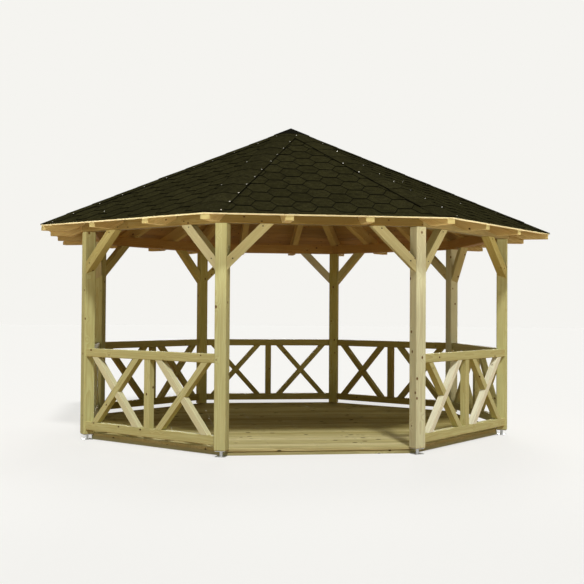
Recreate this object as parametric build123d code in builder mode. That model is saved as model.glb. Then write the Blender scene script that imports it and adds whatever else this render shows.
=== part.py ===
"""Octagonal garden gazebo in planed timber, millimetres, +Z up.

The origin is on the ground under the apex and the open front bay faces -Y.
"""

import os
from math import atan2, cos, degrees, radians, sin, tan

from build123d import *

os.makedirs("parts", exist_ok=True)

# Posts
side_count = 8
post_face_radius = 2614.0
post_side = 120.0
post_length = 2208.0
edge_chamfer = 7.0

# Post feet
foot_height = 60.0
foot_plate_side = 100.0
foot_plate_thickness = 6.0
foot_stem_radius = 15.0

# Wall plates and knee braces
plate_width = 120.0
plate_height = 120.0
brace_face = 95.0
brace_thickness = 95.0
brace_reach = 440.0

# Railings
railing_top = 996.0
railing_gap = 111.0
rail_height = 90.0
rail_thickness = 70.0
rail_chamfer = 6.0
infill_thickness = 58.0
stud_width = 80.0
cross_width = 68.0
cross_offset = 125.0

# Roof frame
roof_pitch = 25.0
rafter_depth = 150.0
rafter_width = 80.0
rafter_spacing = 385.0
hip_width = 90.0
eave_reach = 399.0
tail_height = 48.0
king_apothem = 112.0
king_drop = 35.0

# Roof covering
board_thickness = 18.0
board_overhang = 8.0
shingle_thickness = 8.0
shingle_overhang = 6.0
hip_joint_gap = 1.5
cap_thickness = 5.0
cap_half_width = 155.0
cap_spacing = 6.0
apex_cap_reach = 217.0

# Deck
deck_board_thickness = 30.0
deck_edge_gap = 6.0
bearer_height = 40.0
bearer_width = 60.0
bearer_setback = 12.0
bearer_spacing = 480.0
fit_gap = 0.3

# Angles
half_bay = 180.0 / side_count
bay_tan = tan(radians(half_bay))
bay_cos = cos(radians(half_bay))
bay_sin = sin(radians(half_bay))
pitch_tan = tan(radians(roof_pitch))
pitch_cos = cos(radians(roof_pitch))
pitch_sin = sin(radians(roof_pitch))

# Plan distances, measured from the middle square to a bay
wall_outer = post_face_radius * bay_cos + post_side / 2 * bay_sin
wall_inner = wall_outer - post_side * bay_cos
wall_middle = (wall_outer + wall_inner) / 2
plate_inner = wall_outer - plate_width
tail_end = wall_outer + eave_reach
board_end = tail_end + board_overhang
shingle_end = board_end + board_thickness * pitch_sin + shingle_overhang
far_out = tail_end * 1.5

# Heights
plate_bottom = foot_height + post_length
plate_top = plate_bottom + plate_height
far_up = plate_top + far_out * pitch_tan

# Places of the bays and the posts, by the angle that each faces, round from +X
bay_names = ("right", "back_right", "back", "back_left", "left", "front_left", "front", "front_right")
post_names = (
    "right_back",
    "back_right",
    "back_left",
    "left_back",
    "left_front",
    "front_left",
    "front_right",
    "right_front",
)
bays = {name: half_bay * 2 * step for step, name in enumerate(bay_names)}
posts = {name: half_bay * (2 * step + 1) for step, name in enumerate(post_names)}
open_bay = "front"


def rafter_underside(distance):
    """Height of the rafters' sloping underside, a plan distance from the middle."""
    return plate_top - pitch_tan * (distance - plate_inner)


def rafter_top(distance):
    """Height of the rafters' top, which carries the boards."""
    return rafter_underside(distance) + rafter_depth / pitch_cos


def bay_width(distance, inset):
    """Half of a bay's width between its radial sides, an inset in from each."""
    return distance * bay_tan - inset / bay_cos


def section_plane(along=0.0):
    """Upright plane of a section along +X: x points outwards and y up."""
    return Plane.XZ.offset(along)


def wall_plane(distance):
    """Upright plane across +X, seen from outside: x runs along the wall and y up."""
    return Plane(origin=(distance, 0, 0), x_dir=(0, 1, 0), z_dir=(1, 0, 0))


def trim_to_bay(inset):
    """Cuts the sub-part being made to the bay that faces +X."""
    reach = bay_width(far_out, inset)
    with BuildSketch(Plane.XY) as outline:
        with BuildLine():
            Polyline((inset / bay_sin, 0), (far_out, -reach), (far_out, reach), close=True)
        make_face()
    extrude(outline.sketch, amount=far_up, mode=Mode.INTERSECT)


def roof_layer(lift, thickness, reach):
    """Adds a roof slope that faces +X, a lift above the rafters, before trimming."""
    eave = rafter_top(reach) + lift / pitch_cos
    ridge = rafter_top(0) + lift / pitch_cos
    with BuildSketch(section_plane()) as profile:
        with BuildLine():
            Polyline(
                (0, ridge),
                (reach, eave),
                (reach + thickness * pitch_sin, eave + thickness * pitch_cos),
                (0, ridge + thickness / pitch_cos),
                close=True,
            )
        make_face()
    extrude(profile.sketch, amount=far_out, both=True)


def turned(piece, angle, count=1):
    """Copies a sub-part made facing +X to an angle, or on around the octagon."""
    with BuildPart() as copies:
        with PolarLocations(0, count, start_angle=angle):
            add(piece.part)
    return copies


def write_piece(piece, name):
    """Labels one sub-part and writes it."""
    piece.part.label = name
    export_step(piece.part, "parts/" + name + ".step")


# Posts, one face square to the radius, with planed arrises
post_centre = (post_face_radius - post_side / 2, 0)
with BuildPart() as post:
    with BuildSketch(Plane.XY.offset(foot_height)):
        with Locations(post_centre):
            Rectangle(post_side, post_side)
    extrude(amount=post_length)
    arrises = post.edges().filter_by(Axis.Z)
    chamfer(arrises + post.faces().sort_by(Axis.Z)[0].edges(), edge_chamfer)
for name, angle in posts.items():
    write_piece(turned(post, angle), "post_" + name)

# Post feet: a ground plate, a stem and the plate that is screwed to the post
with BuildPart() as post_foot:
    for level in (0, foot_height - foot_plate_thickness):
        with BuildSketch(Plane.XY.offset(level)):
            with Locations(post_centre):
                Rectangle(foot_plate_side, foot_plate_side)
        extrude(amount=foot_plate_thickness)
    with BuildSketch(Plane.XY):
        with Locations(post_centre):
            Circle(foot_stem_radius)
    extrude(amount=foot_height)
write_piece(turned(post_foot, half_bay, side_count), "post_feet")

# Wall plates, mitred over the posts
with BuildPart() as wall_plate:
    with BuildSketch(section_plane()):
        with Locations((wall_outer - plate_width / 2, plate_bottom + plate_height / 2)):
            Rectangle(plate_width, plate_height)
    extrude(amount=far_out, both=True)
    chamfer(wall_plate.faces().sort_by(Axis.Z)[0].edges().filter_by(Axis.Y), edge_chamfer)
    trim_to_bay(0)
for name, angle in bays.items():
    write_piece(turned(wall_plate, angle), "wall_plate_" + name)

# Knee braces at 45 degrees, cut upright on the post and level under the plate
brace_cut = brace_face * 2**0.5
post_line = bay_width(wall_middle, 0)
post_side_line = bay_width(wall_middle, post_side / 2)
brace_head = post_side_line - brace_reach
brace_foot = plate_bottom - brace_reach - (post_line - post_side_line)
with BuildPart() as brace_pair:
    for hand in (-1, 1):
        with BuildSketch(wall_plane(wall_middle - brace_thickness / 2)):
            with BuildLine():
                Polyline(
                    (hand * brace_head, plate_bottom),
                    (hand * (brace_head + brace_cut), plate_bottom),
                    (hand * post_line, brace_foot + brace_cut),
                    (hand * post_line, brace_foot),
                    close=True,
                )
            make_face()
        extrude(amount=brace_thickness)
    trim_to_bay(post_side / 2)
write_piece(turned(brace_pair, 0, side_count), "knee_braces")

# Railings: two rails, a middle stud and a halved cross on each side of it
rail_bottom = railing_top - rail_height
cross_bottom = railing_gap + rail_height
cross_rise = rail_bottom - cross_bottom
cross_span = post_side_line - stud_width / 2
cross_middle = (stud_width / 2 + cross_span / 2, cross_bottom + cross_rise / 2)
cross_lean = degrees(atan2(cross_rise, cross_span - 2 * cross_offset))
with BuildPart() as railing:
    with BuildSketch(wall_plane(wall_middle - rail_thickness / 2)):
        for level in (railing_gap, rail_bottom):
            with Locations((0, level + rail_height / 2)):
                Rectangle(post_line * 2, rail_height)
    extrude(amount=rail_thickness)
    chamfer(railing.edges().filter_by(Axis.Y), rail_chamfer)
    with BuildSketch(wall_plane(wall_middle - infill_thickness / 2)):
        for hand in (-1, 1):
            with Locations((hand * cross_middle[0], cross_middle[1])):
                for turn in (-1, 1):
                    Rectangle(cross_span * 2, cross_width, rotation=turn * cross_lean)
        with Locations((0, cross_middle[1])):
            Rectangle(post_line * 2, cross_rise + rail_height, mode=Mode.INTERSECT)
            Rectangle(stud_width, cross_rise + rail_height)
    extrude(amount=infill_thickness)
    trim_to_bay(post_side / 2)
for name, angle in bays.items():
    if name != open_bay:
        write_piece(turned(railing, angle), "railing_" + name)

# Rafters' level-cut tails
soffit = rafter_top(tail_end) - tail_height
soffit_start = plate_inner + (plate_top - soffit) / pitch_tan

# Hip rafters over the posts, notched over the plates and backed to both slopes
king_corner = king_apothem * bay_cos
with BuildPart() as hip_rafter:
    with BuildSketch(section_plane()):
        with BuildLine():
            Polyline(
                (king_apothem, rafter_underside(king_corner)),
                (soffit_start / bay_cos, soffit),
                (tail_end / bay_cos, soffit),
                (tail_end / bay_cos, rafter_top(tail_end)),
                (king_apothem, rafter_top(king_corner)),
                close=True,
            )
        make_face()
    extrude(amount=hip_width / 2, both=True)
    with BuildSketch(Plane.XY):
        RegularPolygon(wall_outer, side_count, major_radius=False)
    extrude(amount=plate_top, mode=Mode.SUBTRACT)
    for side in (-half_bay, half_bay):
        slope = Plane(
            origin=(0, 0, rafter_top(0)),
            z_dir=(
                pitch_sin * cos(radians(side)),
                pitch_sin * sin(radians(side)),
                pitch_cos,
            ),
        )
        split(bisect_by=slope, keep=Keep.BOTTOM)
write_piece(turned(hip_rafter, half_bay, side_count), "hip_rafters")

# Jack rafters, two to a bay, seated on the plate and cut against the hips
with BuildPart() as jack_pair:
    for hand in (-1, 1):
        with BuildSketch(section_plane(hand * rafter_spacing)):
            with BuildLine():
                Polyline(
                    (rafter_spacing, rafter_underside(rafter_spacing)),
                    (plate_inner, plate_top),
                    (wall_outer, plate_top),
                    (wall_outer, rafter_underside(wall_outer)),
                    (soffit_start, soffit),
                    (tail_end, soffit),
                    (tail_end, rafter_top(tail_end)),
                    (rafter_spacing, rafter_top(rafter_spacing)),
                    close=True,
                )
            make_face()
        extrude(amount=rafter_width / 2, both=True)
    trim_to_bay(hip_width / 2)
write_piece(turned(jack_pair, 0, side_count), "jack_rafters")

# King block that the hips meet
king_bottom = rafter_underside(king_apothem) - king_drop
with BuildPart() as king_block:
    with BuildSketch(Plane.XY.offset(king_bottom)):
        RegularPolygon(king_apothem, side_count, major_radius=False)
    extrude(amount=rafter_top(king_apothem / bay_cos) - king_bottom)
    chamfer(king_block.faces().sort_by(Axis.Z)[0].edges(), edge_chamfer)
write_piece(king_block, "king_block")

# Roof boards, one slope to a bay, mitred on the hips
with BuildPart() as roof_boards:
    roof_layer(0, board_thickness, board_end)
    trim_to_bay(0)
for name, angle in bays.items():
    write_piece(turned(roof_boards, angle), "roof_boards_" + name)

# Shingles, which stop just short of the hip line
with BuildPart() as shingles:
    roof_layer(board_thickness, shingle_thickness, shingle_end)
    trim_to_bay(hip_joint_gap)
write_piece(turned(shingles, 0, side_count), "shingles")

# Hip caps, folded over each hip and tapered to a point at the apex
cap_lift = board_thickness + shingle_thickness
cap_start = cap_spacing / bay_sin
cap_shoulder = (cap_half_width + cap_spacing) / bay_tan
with BuildPart() as half_cap:
    roof_layer(cap_lift, cap_thickness, shingle_end + shingle_thickness * pitch_sin)
    with BuildSketch(Plane.XY.rotated((0, 0, -half_bay))):
        with BuildLine():
            Polyline(
                (cap_start, 0),
                (far_out, 0),
                (far_out, cap_half_width),
                (cap_shoulder, cap_half_width),
                close=True,
            )
        make_face()
    extrude(amount=far_up, mode=Mode.INTERSECT)
with BuildPart() as hip_cap:
    add(turned(half_cap, half_bay).part)
    mirror(about=Plane.XZ)
write_piece(turned(hip_cap, half_bay, side_count), "hip_caps")

# Apex cap over the points of the hip caps
with BuildPart() as apex_slope:
    roof_layer(cap_lift + cap_thickness, cap_thickness, apex_cap_reach)
    trim_to_bay(0)
write_piece(turned(apex_slope, 0, side_count), "apex_cap")

# Deck of boards inside the ring of posts, notched at each post
deck_apothem = wall_inner - deck_edge_gap
with BuildPart() as deck:
    with BuildSketch(Plane.XY.offset(bearer_height)):
        RegularPolygon(deck_apothem, side_count, major_radius=False, rotation=half_bay)
        with PolarLocations(post_centre[0], side_count, start_angle=half_bay):
            Rectangle(post_side + 2 * fit_gap, post_side + 2 * fit_gap, mode=Mode.SUBTRACT)
    extrude(amount=deck_board_thickness)
write_piece(deck, "deck")

# Deck bearers: a rim under the deck's edge and joists across the boards
rim_apothem = deck_apothem - bearer_setback
joist_count = int(rim_apothem / bearer_spacing) * 2 + 1
with BuildPart() as deck_bearers:
    with BuildSketch(Plane.XY):
        RegularPolygon(rim_apothem, side_count, major_radius=False, rotation=half_bay)
        RegularPolygon(
            rim_apothem - bearer_width,
            side_count,
            major_radius=False,
            rotation=half_bay,
            mode=Mode.SUBTRACT,
        )
        with GridLocations(bearer_spacing, 0, joist_count, 1):
            Rectangle(bearer_width, rim_apothem * 3)
        RegularPolygon(
            rim_apothem,
            side_count,
            major_radius=False,
            rotation=half_bay,
            mode=Mode.INTERSECT,
        )
    extrude(amount=bearer_height)
write_piece(deck_bearers, "deck_bearers")
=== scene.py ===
"""Garden gazebo: the dressed model, in metres and in the frame of its CAD solids."""

import logging
import math
import random
from dataclasses import dataclass
from enum import Enum
from typing import Any, ClassVar

import bmesh
import bpy
from mathutils import Matrix, Vector


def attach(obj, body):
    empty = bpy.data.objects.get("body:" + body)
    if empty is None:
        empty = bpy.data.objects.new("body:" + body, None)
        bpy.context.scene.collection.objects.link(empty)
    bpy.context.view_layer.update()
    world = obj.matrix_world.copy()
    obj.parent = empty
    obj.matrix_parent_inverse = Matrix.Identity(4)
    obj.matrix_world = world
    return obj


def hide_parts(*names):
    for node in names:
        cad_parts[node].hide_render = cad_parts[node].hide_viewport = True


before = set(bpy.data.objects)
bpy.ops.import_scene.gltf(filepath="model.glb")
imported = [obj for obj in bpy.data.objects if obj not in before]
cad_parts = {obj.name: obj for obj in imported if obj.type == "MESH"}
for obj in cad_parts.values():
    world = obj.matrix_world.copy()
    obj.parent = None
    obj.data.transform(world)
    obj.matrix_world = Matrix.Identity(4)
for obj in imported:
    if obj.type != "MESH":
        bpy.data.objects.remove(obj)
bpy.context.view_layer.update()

LOG = logging.getLogger("gazebo")

Shape = bmesh.types.BMesh
Tree = bpy.types.NodeTree
# A point of a plane and the plane's direction, towards the side that a cut takes off
Plane = tuple[Vector, Vector]

HANDS = (-1, 1)
QUARTER_TURN = math.pi / 2
# The attributes that each timber carries, with the socket that reads them
MARKS = (("grain", "Vector"), ("tone", "Fac"), ("end", "Fac"))
# Radius and height of a clout nail's head, and how far a head's middle stands off its seat
NAIL_HEAD = (0.0055, 0.0016)
NAIL_STAND = 0.0006


class Octant(Enum):
    """One of eight directions out of the middle, by its angle in degrees from +X."""

    @property
    def node_end(self) -> str:
        """The end of the names of the CAD nodes that lie that way."""
        return self.name.lower()

    @property
    def turn(self) -> Matrix:
        """Turns a piece made facing +X to this direction."""
        return Matrix.Rotation(math.radians(self.value), 4, "Z")

    @classmethod
    def ring(cls, distance: float) -> list[Plane]:
        """Upright planes that face all eight directions at a plan distance."""
        ways = [member.turn.to_3x3() @ Vector((1.0, 0.0, 0.0)) for member in cls]
        return [(way * distance, way) for way in ways]


class Bay(Octant):
    """The eight bays between the posts, by the angle that each faces."""

    RIGHT = 0
    BACK_RIGHT = 45
    BACK = 90
    BACK_LEFT = 135
    LEFT = 180
    FRONT_LEFT = 225
    FRONT = 270
    FRONT_RIGHT = 315


class Corner(Octant):
    """The eight posts and hips, by the angle that each stands at."""

    RIGHT_BACK = 22.5
    BACK_RIGHT = 67.5
    BACK_LEFT = 112.5
    LEFT_BACK = 157.5
    LEFT_FRONT = 202.5
    FRONT_LEFT = 247.5
    FRONT_RIGHT = 292.5
    RIGHT_FRONT = 337.5


class Half(Enum):
    """Which half of a halved brace's thickness runs on through the crossing."""

    OUTER = 1
    INNER = -1


def axes_at(along: Any, across: Any, out: Any, origin: Any) -> Matrix:
    """Makes a place from its axes.

    Args:
        along: direction of X.
        across: direction of Y.
        out: direction of Z.
        origin: where the three meet.

    Returns:
        The matrix that takes the place's own coordinates to those of its axes.
    """
    place = Matrix((along, across, out)).transposed().to_4x4()
    place.translation = origin
    return place


@dataclass(frozen=True)
class Layout:
    """Plan distances and heights that several pieces share, in metres."""

    half_bay: float = math.pi / 8
    post_face_radius: float = 2.614
    post_side: float = 0.120
    plate_bottom: float = 2.268
    plate_size: float = 0.120
    pitch: float = math.radians(25.0)
    rafter_depth: float = 0.150
    rafter_spacing: float = 0.385
    eave_reach: float = 0.399
    board_overhang: float = 0.008
    board_thickness: float = 0.018

    @property
    def wall_outer(self) -> float:
        """Plan distance of the plates' outer face."""
        outer = self.post_face_radius * math.cos(self.half_bay)
        return outer + self.post_side / 2 * math.sin(self.half_bay)

    @property
    def wall_inner(self) -> float:
        """Plan distance of the posts' inner corners."""
        return self.wall_outer - self.post_side * math.cos(self.half_bay)

    @property
    def wall_middle(self) -> float:
        """Plan distance of the middle of the wall, where the railings stand."""
        return (self.wall_outer + self.wall_inner) / 2

    @property
    def post_line(self) -> float:
        """Half of the width between two posts, in the middle of the wall."""
        half_width = self.wall_middle * math.tan(self.half_bay)
        return half_width - self.post_side / 2 / math.cos(self.half_bay)

    @property
    def board_end(self) -> float:
        """Plan distance of the roof boards' lower edge, at the rafters' top."""
        return self.wall_outer + self.eave_reach + self.board_overhang

    @property
    def slope_length(self) -> float:
        """Length of a slope from the boards' lower edge to the apex."""
        return self.board_end / math.cos(self.pitch)

    def rafter_top(self, distance: float) -> float:
        """Height of the rafters' top.

        Args:
            distance: plan distance from the middle, square to a bay.

        Returns:
            The height above the ground.
        """
        inner = self.wall_outer - self.plate_size
        underside = self.plate_bottom + self.plate_size - math.tan(self.pitch) * (distance - inner)
        return underside + self.rafter_depth / math.cos(self.pitch)

    def slope_place(self, bay: Bay) -> Matrix:
        """Place of a roof slope: X along the eave, Y up the slope and Z out of it.

        Args:
            bay: the bay that the slope covers.

        Returns:
            The matrix that takes slope coordinates to the model's frame.
        """
        sine, cosine = math.sin(self.pitch), math.cos(self.pitch)
        eave = (self.board_end, 0.0, self.rafter_top(self.board_end))
        axes = axes_at((0.0, 1.0, 0.0), (-cosine, 0.0, sine), (sine, 0.0, cosine), eave)
        return bay.turn @ axes

    def sides(self, inset: float) -> list[Plane]:
        """Upright planes at both sides of the bay that faces +X, some way in."""
        ways = [Vector((-math.sin(self.half_bay), h * math.cos(self.half_bay), 0.0)) for h in HANDS]
        return [(way * -inset, way) for way in ways]


LAYOUT = Layout()


def linear(code: str) -> tuple[float, float, float, float]:
    """Turns an sRGB hex colour to the linear values that a shader takes.

    Args:
        code: the colour, such as "#c8b98a".

    Returns:
        Linear red, green and blue, with an alpha of 1.
    """
    shares = [int(code[at : at + 2], 16) / 255 for at in (1, 3, 5)]
    values = [c / 12.92 if c <= 0.04045 else ((c + 0.055) / 1.055) ** 2.4 for c in shares]
    return values[0], values[1], values[2], 1.0


def add_node(tree: Tree, kind: str, inputs: dict[Any, Any], **settings: Any) -> bpy.types.Node:
    """Adds a shader node with its settings and links.

    Args:
        tree: the material's or the world's nodes.
        kind: the node's type, without its ShaderNode prefix.
        inputs: a value, a hex colour, a socket, or a node for its result, by name or number.
        settings: the node's own settings.

    Returns:
        The new node.
    """
    node = tree.nodes.new("ShaderNode" + kind)
    for name, value in settings.items():
        setattr(node, name, value)
    for key, value in inputs.items():
        if isinstance(value, bpy.types.Node):
            value = next(socket for socket in value.outputs if socket.enabled)
        if isinstance(value, bpy.types.NodeSocket):
            tree.links.new(value, node.inputs[key])
        else:
            node.inputs[key].default_value = linear(value) if isinstance(value, str) else value
    return node


def empty_tree(owner: bpy.types.Material | bpy.types.World) -> Tree:
    """Gives a new material or world an empty node tree.

    Args:
        owner: the material or the world.

    Returns:
        Its nodes.
    """
    owner.use_nodes = True
    owner.node_tree.nodes.clear()
    return owner.node_tree


@dataclass(frozen=True)
class Surface:
    """A finish of the gazebo: patterns that feed one shader."""

    name: str

    def look(self, tree: Tree) -> dict[str, Any]:
        """Adds the finish's patterns and returns the shader's inputs."""
        raise NotImplementedError

    def material(self) -> bpy.types.Material:
        """Builds the node material.

        Returns:
            The material.
        """
        made = bpy.data.materials.new(self.name)
        tree = empty_tree(made)
        shader = add_node(tree, "BsdfPrincipled", self.look(tree))
        add_node(tree, "OutputMaterial", {"Surface": shader})
        return made


@dataclass(frozen=True)
class Pine(Surface):
    """Pressure-treated pine: rings, long fibres, knots and uneven weathering.

    It reads the "grain" attribute, which runs along each timber, so that the rings
    close round the timber's pith and no two timbers look alike.
    """

    early: str
    late: str
    knot: str
    weathered: str
    end_grain: str
    ring_spacing: float = 0.009
    ring_depth: float = 0.42
    knot_spacing: float = 0.11
    knot_radius: float = 0.013
    knot_push: float = 0.014
    roughness: float = 0.68
    relief: float = 0.0008
    tone_spread: float = 0.26
    damp_and_shade_tint: float = 0.0
    streak_depth: float = 0.34
    patch_depth: float = 0.6
    end_depth: float = 0.6
    specular: float = 0.1

    def look(self, tree: Tree) -> dict[str, Any]:
        """Adds the timber's patterns.

        Args:
            tree: the material's nodes.

        Returns:
            The shader's inputs.
        """
        grain, tone, end = (
            add_node(tree, "Attribute", {}, attribute_name=mark).outputs[socket]
            for mark, socket in MARKS
        )

        # The pith wanders by up to 30 mm over about half a metre of timber
        drift_place = add_node(tree, "Mapping", {"Vector": grain, "Scale": (2.0, 7.0, 7.0)})
        drift = add_node(tree, "TexNoise", {"Vector": drift_place, "Scale": 1.0, "Detail": 2.0})
        wander = add_node(
            tree, "VectorMath", {0: drift.outputs["Color"], 1: (0.0, 0.03, 0.03), 2: grain},
            operation="MULTIPLY_ADD",
        )

        # Knots a hand's width apart, which push the rings aside
        spread = 1 / self.knot_spacing
        reach = self.knot_radius * spread
        knot_scale = (spread * 0.7, spread, spread)
        knot_place = add_node(tree, "Mapping", {"Vector": grain, "Scale": knot_scale})
        knots = add_node(tree, "TexVoronoi", {"Vector": knot_place, "Scale": 1.0})
        core = add_node(
            tree, "MapRange", {"Value": knots, "From Min": reach, "From Max": reach * 0.55},
            interpolation_type="SMOOTHSTEP",
        )
        push = add_node(
            tree, "MapRange",
            {"Value": knots, "From Min": reach * 3.4, "From Max": 0.0, "To Max": self.knot_push},
            interpolation_type="SMOOTHERSTEP",
        )

        # Year rings round the pith, drawn as wide as fast-grown pine has them
        square = (0.0, 1.0, 1.0)
        flat = add_node(tree, "VectorMath", {0: wander, 1: square}, operation="MULTIPLY")
        radius = add_node(tree, "VectorMath", {0: flat}, operation="LENGTH")
        pushed = add_node(tree, "Math", {0: radius, 1: push}, operation="ADD")
        years = add_node(tree, "Math", {0: pushed, 1: 1 / self.ring_spacing}, operation="MULTIPLY")
        year = add_node(tree, "Math", {0: years}, operation="FRACT")
        ring = add_node(
            tree, "MapRange", {"Value": year, "From Min": 0.25, "From Max": 0.95},
            interpolation_type="SMOOTHSTEP",
        )

        # Streaks of about 15 mm by 0.5 m that show from afar, fibres of 2 mm by 0.1 m and
        # weathered patches of 0.1 m by 0.4 m
        noises = []
        for source, scale, detail, rough in (
            (wander, (2.0, 62.0, 62.0), 3.0, 0.6),
            (wander, (9.0, 420.0, 420.0), 2.0, 0.5),
            (grain, (2.6, 9.0, 9.0), 3.0, 0.5),
        ):
            place = add_node(tree, "Mapping", {"Vector": source, "Scale": scale})
            grit = {"Vector": place, "Scale": 1.0, "Detail": detail, "Roughness": rough}
            noises.append(add_node(tree, "TexNoise", grit))
        streaks, fibres, patches = noises
        streak, patch = (
            add_node(
                tree, "MapRange",
                {"Value": noise, "From Min": low, "From Max": high, "To Max": depth},
            )
            for noise, low, high, depth in (
                (streaks, 0.40, 0.68, self.streak_depth),
                (patches, 0.42, 0.7, self.patch_depth),
            )
        )
        ring_share, end_share = (
            add_node(tree, "Math", {0: share, 1: depth}, operation="MULTIPLY")
            for share, depth in ((ring, self.ring_depth), (end, self.end_depth))
        )
        colour: Any = self.early
        for share, paint in ((ring_share, self.late), (streak, self.late), (patch, self.weathered)):
            colour = add_node(tree, "Mix", {0: share, 6: colour, 7: paint}, data_type="RGBA")

        # Low tones are dark, fuller in colour and browner, and high tones pale and greyer: damp and
        # sun-fading at random, and painted shade and painted sunlight where a piece sets its tones
        half_spread = self.tone_spread / 2
        browner = 0.5 - self.damp_and_shade_tint * 0.07
        value, depth, hue = (
            add_node(
                tree, "MapRange",
                {"Value": tone, "From Max": full, "To Min": dark, "To Max": pale},
            )
            for full, dark, pale in (
                (1.0, 1 - half_spread, 1 + half_spread),
                (1.0, 1 + self.damp_and_shade_tint, 1 - self.damp_and_shade_tint),
                (0.5, browner, 0.5),
            )
        )
        toning = {"Hue": hue, "Saturation": depth, "Value": value, "Color": colour}
        colour = add_node(tree, "HueSaturation", toning)
        for share, paint in ((end_share, self.end_grain), (core, self.knot)):
            colour = add_node(tree, "Mix", {0: share, 6: colour, 7: paint}, data_type="RGBA")

        height = add_node(tree, "Math", {0: fibres, 1: ring}, operation="ADD")
        relief = {"Height": height, "Strength": 0.5, "Distance": self.relief}
        gloss = {"Value": fibres, "To Min": self.roughness - 0.1, "To Max": self.roughness + 0.12}
        return {
            "Base Color": colour, "Roughness": add_node(tree, "MapRange", gloss),
            "Normal": add_node(tree, "Bump", relief), "IOR": 1.5,
            "Specular IOR Level": self.specular,
        }


@dataclass(frozen=True)
class Bitumen(Surface):
    """Glass-fibre bitumen felt with ceramic granules pressed into its face.

    The granules are about 1 mm, drawn 4 mm wide so that they show. Cut edges are the
    bare black bitumen, which the "end" attribute marks; the same mark paints a band round
    each tab's and cap's top black, as painted shade along their outlines. It takes no sheen,
    which at a low angle would lie over the black as a pale veil.
    """

    granule: str
    pale_granule: str
    dark_granule: str
    edge: str
    granule_size: float = 0.004
    relief: float = 0.0012
    tone_spread: float = 0.22

    def look(self, tree: Tree) -> dict[str, Any]:
        """Adds the felt's patterns.

        Args:
            tree: the material's nodes.

        Returns:
            The shader's inputs.
        """
        grain, tone, end = (
            add_node(tree, "Attribute", {}, attribute_name=mark).outputs[socket]
            for mark, socket in MARKS
        )
        specks = add_node(tree, "TexVoronoi", {"Vector": grain, "Scale": 1 / self.granule_size})
        speck = add_node(tree, "SeparateColor", {0: specks.outputs["Color"]})
        # Blotches about 60 mm wide, where the granules lie thinner
        blotches = add_node(
            tree, "TexNoise", {"Vector": grain, "Scale": 16.0, "Detail": 4.0, "Roughness": 0.65}
        )
        colour: Any = self.granule
        for source, low, high, depth, paint in (
            (speck, 0.72, 0.95, 0.7, self.pale_granule),
            (blotches, 0.42, 0.68, 0.8, self.dark_granule),
        ):
            share = add_node(
                tree, "MapRange",
                {"Value": source, "From Min": low, "From Max": high, "To Max": depth},
            )
            colour = add_node(tree, "Mix", {0: share, 6: colour, 7: paint}, data_type="RGBA")
        half_spread = self.tone_spread / 2
        tones = {"Value": tone, "To Min": 1 - half_spread, "To Max": 1 + half_spread}
        value = add_node(tree, "MapRange", tones)
        toned = add_node(tree, "HueSaturation", {"Value": value, "Color": colour})
        edged = add_node(tree, "Mix", {0: end, 6: toned, 7: self.edge}, data_type="RGBA")
        relief = {"Height": specks, "Strength": 0.6, "Distance": self.relief}
        gloss = {"Value": speck.outputs["Green"], "To Min": 0.72, "To Max": 0.95}
        return {
            "Base Color": edged, "Roughness": add_node(tree, "MapRange", gloss),
            "Normal": add_node(tree, "Bump", relief), "IOR": 1.5, "Specular IOR Level": 0.0,
        }


@dataclass(frozen=True)
class Zinc(Surface):
    """Zinc-plated steel: a bright metal dulled by its 9 mm spangle and by handling."""

    colour: str
    dull: str
    roughness: float = 0.42
    relief: float = 0.0004

    def look(self, tree: Tree) -> dict[str, Any]:
        """Adds the metal's patterns.

        Args:
            tree: the material's nodes.

        Returns:
            The shader's inputs.
        """
        place = add_node(tree, "TexCoord", {}).outputs["Object"]
        spangle = add_node(tree, "TexVoronoi", {"Vector": place, "Scale": 110.0})
        facet = add_node(tree, "SeparateColor", {0: spangle.outputs["Color"]})
        grime = add_node(tree, "TexNoise", {"Vector": place, "Scale": 22.0, "Detail": 4.0})
        share = add_node(tree, "MapRange", {"Value": grime, "From Min": 0.4, "From Max": 0.75})
        dulled = {0: share, 6: self.colour, 7: self.dull}
        relief = {"Height": grime, "Strength": 0.3, "Distance": self.relief}
        gloss = {"Value": facet, "To Min": self.roughness - 0.08, "To Max": self.roughness + 0.12}
        return {
            "Base Color": add_node(tree, "Mix", dulled, data_type="RGBA"), "Metallic": 1.0,
            "Roughness": add_node(tree, "MapRange", gloss),
            "Normal": add_node(tree, "Bump", relief),
        }


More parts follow.
